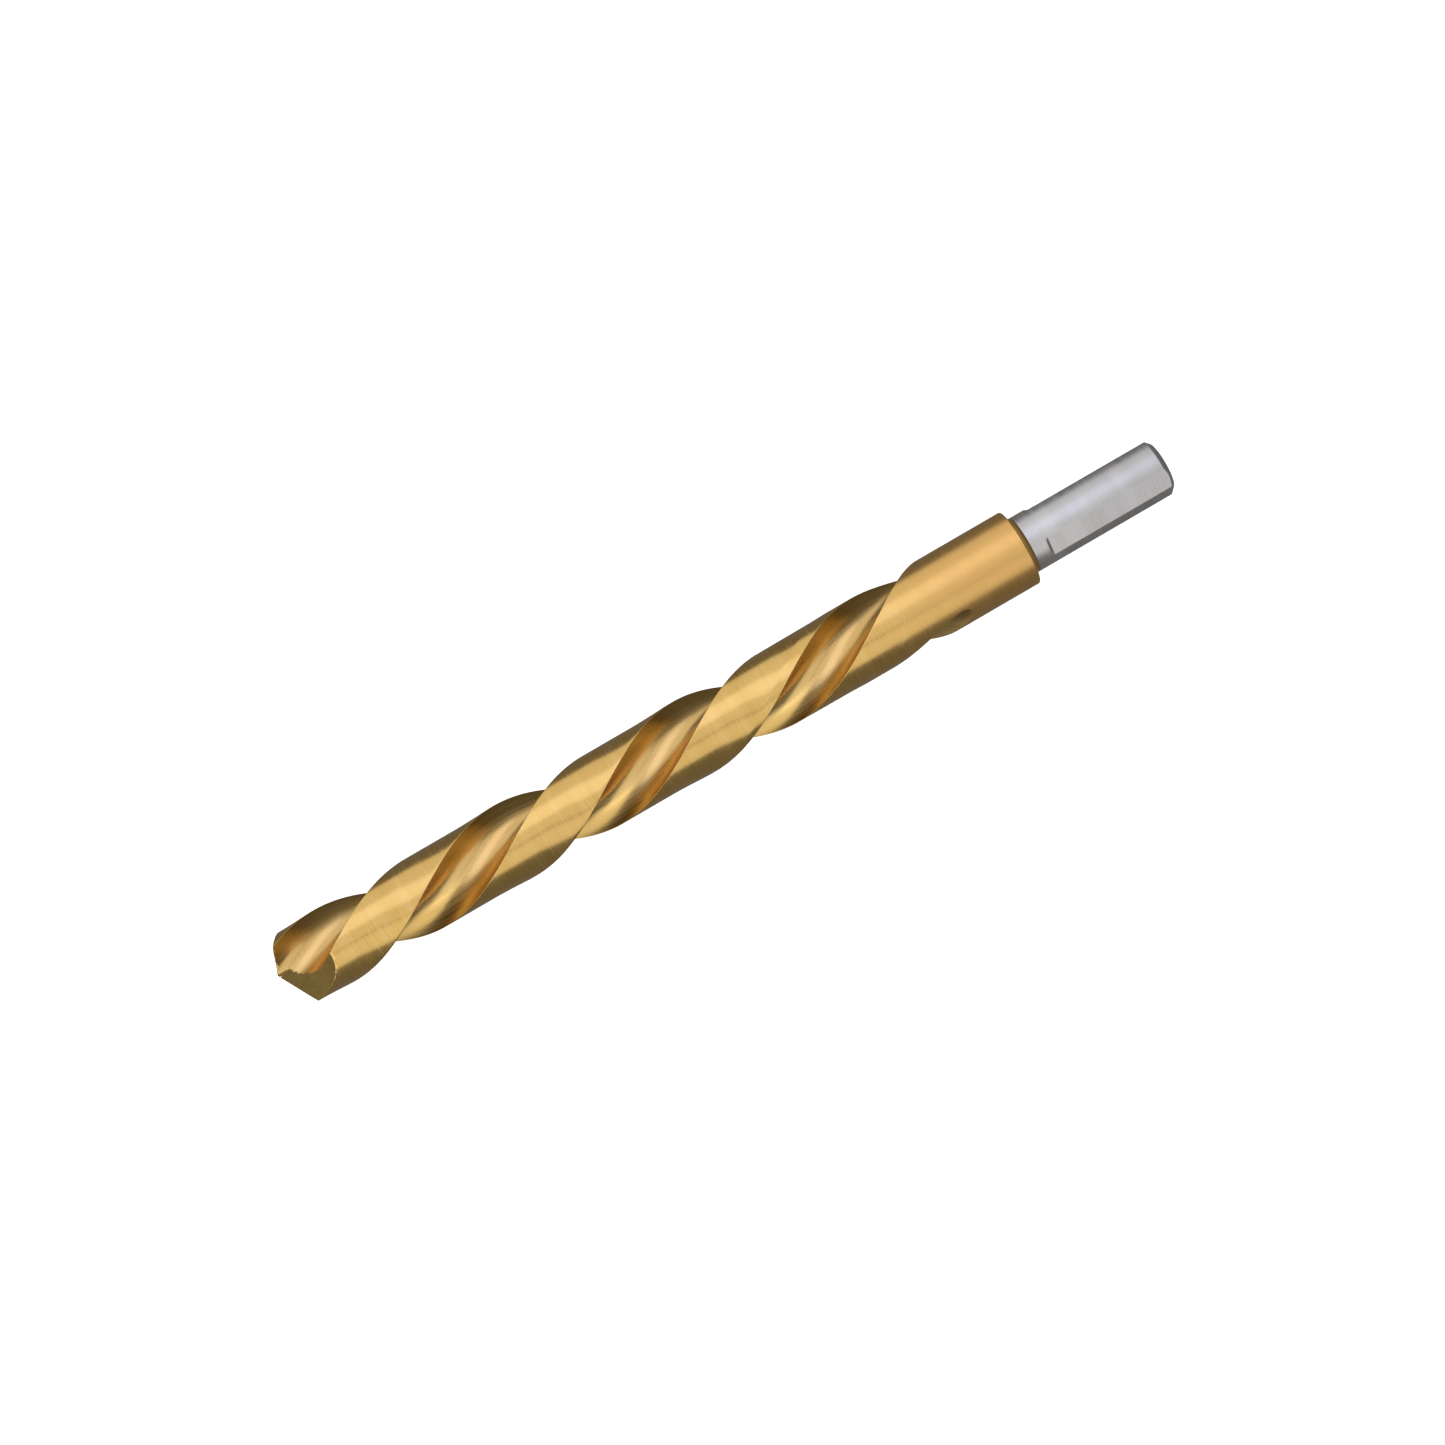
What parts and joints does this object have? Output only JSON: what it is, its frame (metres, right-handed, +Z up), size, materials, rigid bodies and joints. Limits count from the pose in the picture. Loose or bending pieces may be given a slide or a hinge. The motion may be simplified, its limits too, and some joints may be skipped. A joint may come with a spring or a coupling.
{
  "type": "twist drill bit",
  "caption": "Left-hand two-flute coated twist drill with split-type point, plain neck, square shoulder and reduced straight shank with three drive flats.",
  "frame": {"origin": "on the drill's axis, in the plane of the shoulder where the reduced shank leaves the body", "axes": "+X along the axis from the point towards the shank's free end; +Z up with the drill lying on its side"},
  "size_m": [0.158, 0.0126, 0.0126],
  "materials": {
    "coated_steel": "satin gold nitride coat over ground high-speed steel",
    "bare_steel": "fine-ground bare steel"
  },
  "bodies": {
    "root": {"drill_body": "coated_steel", "shank": "bare_steel"}
  },
  "joints": []
}
